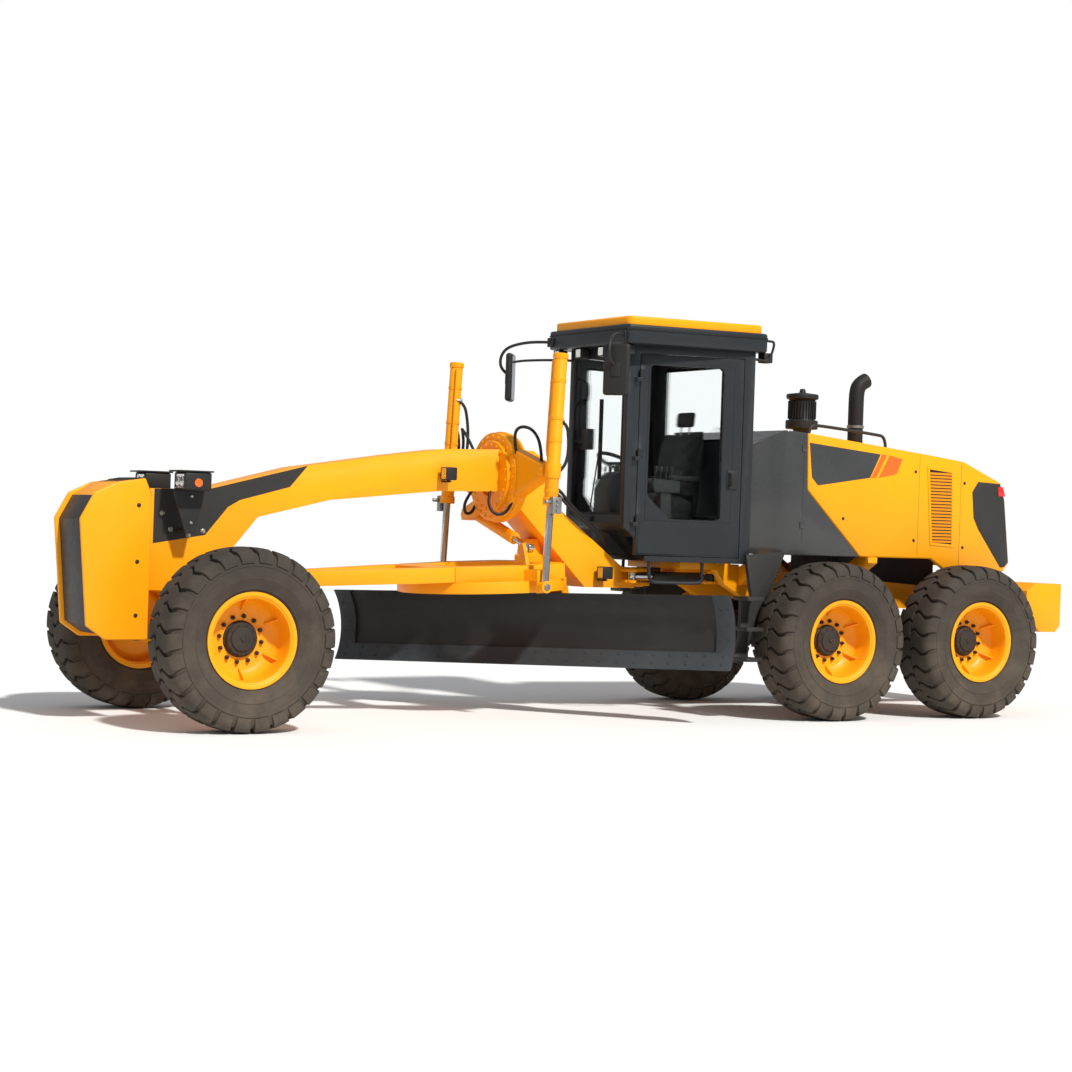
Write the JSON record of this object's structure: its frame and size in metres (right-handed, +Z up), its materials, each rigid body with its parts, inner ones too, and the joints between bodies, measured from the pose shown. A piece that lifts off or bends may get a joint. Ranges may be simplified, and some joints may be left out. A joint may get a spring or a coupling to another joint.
{
  "type": "motor grader",
  "caption": "Yellow articulated motor grader: long arched front frame, blade slung on a turning circle, glazed cab, engine hood at the rear, tandem rear wheels",
  "frame": {"origin": "On the ground, under the middle of the whole machine's length and width", "axes": "+X forward along the machine, +Y to the operator's left, +Z up"},
  "size_m": [9.36, 3.1576, 3.335],
  "materials": {
    "machine_yellow": "gloss",
    "charcoal_paint": "satin",
    "cab_grey": "satin",
    "blade_steel": "worn",
    "edge_steel": "worn",
    "rod_chrome": "polished",
    "engine_iron": "rough",
    "stack_steel": "matte",
    "tyre_rubber": "matte",
    "seat_fabric": "matte",
    "interior_plastic": "matte",
    "window_glass": "clear",
    "lamp_black": "matte"
  },
  "bodies": {
    "chassis": {"rear_frame": "machine_yellow", "tandem_cases": "charcoal_paint", "engine_block": "engine_iron", "engine_hood": "machine_yellow", "hood_shell": "charcoal_paint", "rear_bumper": "machine_yellow", "exhaust_stack": "stack_steel", "air_precleaner": "interior_plastic", "cab_body": "cab_grey", "cab_glass": "window_glass", "cab_roof": "machine_yellow", "operator_seat": "seat_fabric", "control_console": "interior_plastic", "access_steps": "charcoal_paint", "mirrors": "lamp_black"},
    "front_frame": {"front_frame": "machine_yellow", "saddle": "machine_yellow", "nose_cover": "machine_yellow", "front_axle": "machine_yellow", "headlamps": "lamp_black"},
    "lean_left": {"lean_yoke_left": "machine_yellow"},
    "knuckle_left": {"steering_knuckle_left": "machine_yellow"},
    "door_left": {"door_left": "cab_grey", "door_glass_left": "window_glass"},
    "articulation_barrel_left": {"articulation_barrel_left": "charcoal_paint"},
    "articulation_rod_left": {"articulation_rod_left": "rod_chrome"},
    "lean_right": {"lean_yoke_right": "machine_yellow"},
    "knuckle_right": {"steering_knuckle_right": "machine_yellow"},
    "door_right": {"door_right": "cab_grey", "door_glass_right": "window_glass"},
    "articulation_barrel_right": {"articulation_barrel_right": "charcoal_paint"},
    "articulation_rod_right": {"articulation_rod_right": "rod_chrome"},
    "wheel_front_left": {"tyre_front_left": "tyre_rubber", "rim_front_left": "machine_yellow"},
    "wheel_front_right": {"tyre_front_right": "tyre_rubber", "rim_front_right": "machine_yellow"},
    "wheel_mid_left": {"tyre_mid_left": "tyre_rubber", "rim_mid_left": "machine_yellow"},
    "wheel_mid_right": {"tyre_mid_right": "tyre_rubber", "rim_mid_right": "machine_yellow"},
    "wheel_rear_left": {"tyre_rear_left": "tyre_rubber", "rim_rear_left": "machine_yellow"},
    "wheel_rear_right": {"tyre_rear_right": "tyre_rubber", "rim_rear_right": "machine_yellow"},
    "steering_rod": {"steering_rod": "machine_yellow"},
    "lean_bar": {"lean_bar": "machine_yellow"},
    "drawbar": {"drawbar": "machine_yellow"},
    "circle": {"circle": "machine_yellow"},
    "blade_carrier": {"blade_carrier": "machine_yellow"},
    "lift_barrels": {"lift_barrels": "machine_yellow"},
    "lift_rods": {"lift_rods": "rod_chrome"},
    "centre_shift_barrel": {"centre_shift_barrel": "machine_yellow"},
    "centre_shift_rod": {"centre_shift_rod": "rod_chrome"},
    "blade_tip_barrel": {"blade_tip_barrel": "charcoal_paint"},
    "blade_tip_rod": {"blade_tip_rod": "rod_chrome"},
    "blade": {"moldboard": "blade_steel", "cutting_edge": "edge_steel"}
  },
  "joints": [
    {"name": "articulation", "type": "hinge", "parent": "chassis", "child": "front_frame", "pos_m": [-0.45, 0, 1.157], "axis": [0, 0, 1], "range_deg": [-25, 25]},
    {"name": "articulation_swing_left", "type": "hinge", "parent": "chassis", "child": "articulation_barrel_left", "pos_m": [-1.05, 0.24, 1.169], "axis": [0, 0, 1], "range_deg": [-8.73, 8.73]},
    {"name": "articulation_stroke_left", "type": "slide", "parent": "articulation_barrel_left", "child": "articulation_rod_left", "axis": [0.9983, 0.0587, 0], "range_m": [-0.1241, 0.1241]},
    {"name": "articulation_swing_right", "type": "hinge", "parent": "chassis", "child": "articulation_barrel_right", "pos_m": [-1.05, -0.24, 1.169], "axis": [0, 0, 1], "range_deg": [-8.73, 8.73]},
    {"name": "articulation_stroke_right", "type": "slide", "parent": "articulation_barrel_right", "child": "articulation_rod_right", "axis": [0.9983, -0.0587, 0], "range_m": [-0.1241, 0.1241]},
    {"name": "wheel_lean_left", "type": "hinge", "parent": "front_frame", "child": "lean_left", "pos_m": [3.71, 0.655, 0.6], "axis": [1, 0, 0], "range_deg": [-17, 17]},
    {"name": "steering_left", "type": "hinge", "parent": "lean_left", "child": "knuckle_left", "pos_m": [3.71, 0.83, 0.672], "axis": [0, 0, 1], "range_deg": [-42, 42]},
    {"name": "wheel_spin_front_left", "type": "hinge", "parent": "knuckle_left", "child": "wheel_front_left", "pos_m": [3.71, 1.07, 0.672], "axis": [0, 1, 0], "continuous": true},
    {"name": "wheel_lean_right", "type": "hinge", "parent": "front_frame", "child": "lean_right", "pos_m": [3.71, -0.655, 0.6], "axis": [1, 0, 0], "range_deg": [-17, 17]},
    {"name": "steering_right", "type": "hinge", "parent": "lean_right", "child": "knuckle_right", "pos_m": [3.71, -0.83, 0.672], "axis": [0, 0, 1], "range_deg": [-42, 42]},
    {"name": "wheel_spin_front_right", "type": "hinge", "parent": "knuckle_right", "child": "wheel_front_right", "pos_m": [3.71, -1.07, 0.672], "axis": [0, 1, 0], "continuous": true},
    {"name": "wheel_spin_mid_left", "type": "hinge", "parent": "chassis", "child": "wheel_mid_left", "pos_m": [-1.73, 1.07, 0.672], "axis": [0, 1, 0], "continuous": true},
    {"name": "wheel_spin_mid_right", "type": "hinge", "parent": "chassis", "child": "wheel_mid_right", "pos_m": [-1.73, -1.07, 0.672], "axis": [0, 1, 0], "continuous": true},
    {"name": "wheel_spin_rear_left", "type": "hinge", "parent": "chassis", "child": "wheel_rear_left", "pos_m": [-3.29, 1.07, 0.672], "axis": [0, 1, 0], "continuous": true},
    {"name": "wheel_spin_rear_right", "type": "hinge", "parent": "chassis", "child": "wheel_rear_right", "pos_m": [-3.29, -1.07, 0.672], "axis": [0, 1, 0], "continuous": true},
    {"name": "steering_rod_slide", "type": "slide", "parent": "front_frame", "child": "steering_rod", "axis": [0, 1, 0], "range_m": [-0.1252, 0.1252]},
    {"name": "lean_bar_slide", "type": "slide", "parent": "front_frame", "child": "lean_bar", "axis": [0, 1, 0], "range_m": [-0.104, 0.104]},
    {"name": "drawbar_lift", "type": "hinge", "parent": "front_frame", "child": "drawbar", "pos_m": [3.4, 0, 1.12], "axis": [0, 1, 0], "range_deg": [-12, 1.5]},
    {"name": "circle_turn", "type": "hinge", "parent": "drawbar", "child": "circle", "pos_m": [1.09687, 0, 1.12054], "axis": [0.0523, 0, 0.9986], "continuous": true},
    {"name": "blade_tip", "type": "hinge", "parent": "circle", "child": "blade_carrier", "pos_m": [0.53103, -0.34857, 0.57941], "axis": [-0.5439, 0.8387, 0.0285], "range_deg": [-5, 40]},
    {"name": "blade_side_shift", "type": "slide", "parent": "blade_carrier", "child": "blade", "axis": [0.5439, -0.8387, -0.0285], "range_m": [-0.35, 0.75]},
    {"name": "lift_swing", "type": "hinge", "parent": "front_frame", "child": "lift_barrels", "pos_m": [0.965, 0, 2.01], "axis": [0, 1, 0], "range_deg": [-1.64, 0.64]},
    {"name": "lift_stroke", "type": "slide", "parent": "lift_barrels", "child": "lift_rods", "axis": [0.0426, 0, -0.9991], "range_m": [-0.0676, 0.5056]},
    {"name": "centre_shift_swing", "type": "hinge", "parent": "front_frame", "child": "centre_shift_barrel", "pos_m": [0.865, -0.495, 1.64], "axis": [1, 0, 0], "range_deg": [-28.16, 3.96]},
    {"name": "centre_shift_stroke", "type": "slide", "parent": "centre_shift_barrel", "child": "centre_shift_rod", "axis": [0, 0.9575, -0.2884], "range_m": [-0.0359, 0.252]},
    {"name": "tip_cylinder_swing", "type": "hinge", "parent": "circle", "child": "blade_tip_barrel", "pos_m": [0.28317, -0.52285, 0.97793], "axis": [-0.5439, 0.8387, 0.0285], "range_deg": [-1.17, 5.83]},
    {"name": "tip_cylinder_stroke", "type": "slide", "parent": "blade_tip_barrel", "child": "blade_tip_rod", "axis": [0.8132, 0.5351, -0.2288], "range_m": [-0.0319, 0.2205]},
    {"name": "door_left_swing", "type": "hinge", "parent": "chassis", "child": "door_left", "pos_m": [-0.09, 0.50136, 1.6], "axis": [0, 0, -1], "range_deg": [0, 85]},
    {"name": "door_right_swing", "type": "hinge", "parent": "chassis", "child": "door_right", "pos_m": [-0.09, -0.50136, 1.6], "axis": [0, 0, 1], "range_deg": [0, 85]}
  ],
  "couplings": [
    {"joint": "articulation_swing_left", "follows": "articulation", "ratio": 0.30905},
    {"joint": "articulation_stroke_left", "follows": "articulation", "m_per_rad": -0.27286},
    {"joint": "articulation_swing_right", "follows": "articulation", "ratio": 0.30905},
    {"joint": "articulation_stroke_right", "follows": "articulation", "m_per_rad": 0.27286},
    {"joint": "wheel_lean_right", "follows": "wheel_lean_left", "ratio": 1},
    {"joint": "steering_right", "follows": "steering_left", "ratio": 1},
    {"joint": "steering_rod_slide", "follows": "steering_left", "m_per_rad": -0.16533},
    {"joint": "lean_bar_slide", "follows": "wheel_lean_left", "m_per_rad": -0.33687},
    {"joint": "lift_swing", "follows": "drawbar_lift", "ratio": 0.094785},
    {"joint": "lift_stroke", "follows": "drawbar_lift", "m_per_rad": -2.3903},
    {"joint": "centre_shift_swing", "follows": "drawbar_lift", "ratio": 2.3053},
    {"joint": "centre_shift_stroke", "follows": "drawbar_lift", "m_per_rad": -1.1794},
    {"joint": "tip_cylinder_swing", "follows": "blade_tip", "ratio": 0.13322},
    {"joint": "tip_cylinder_stroke", "follows": "blade_tip", "m_per_rad": 0.30865}
  ]
}
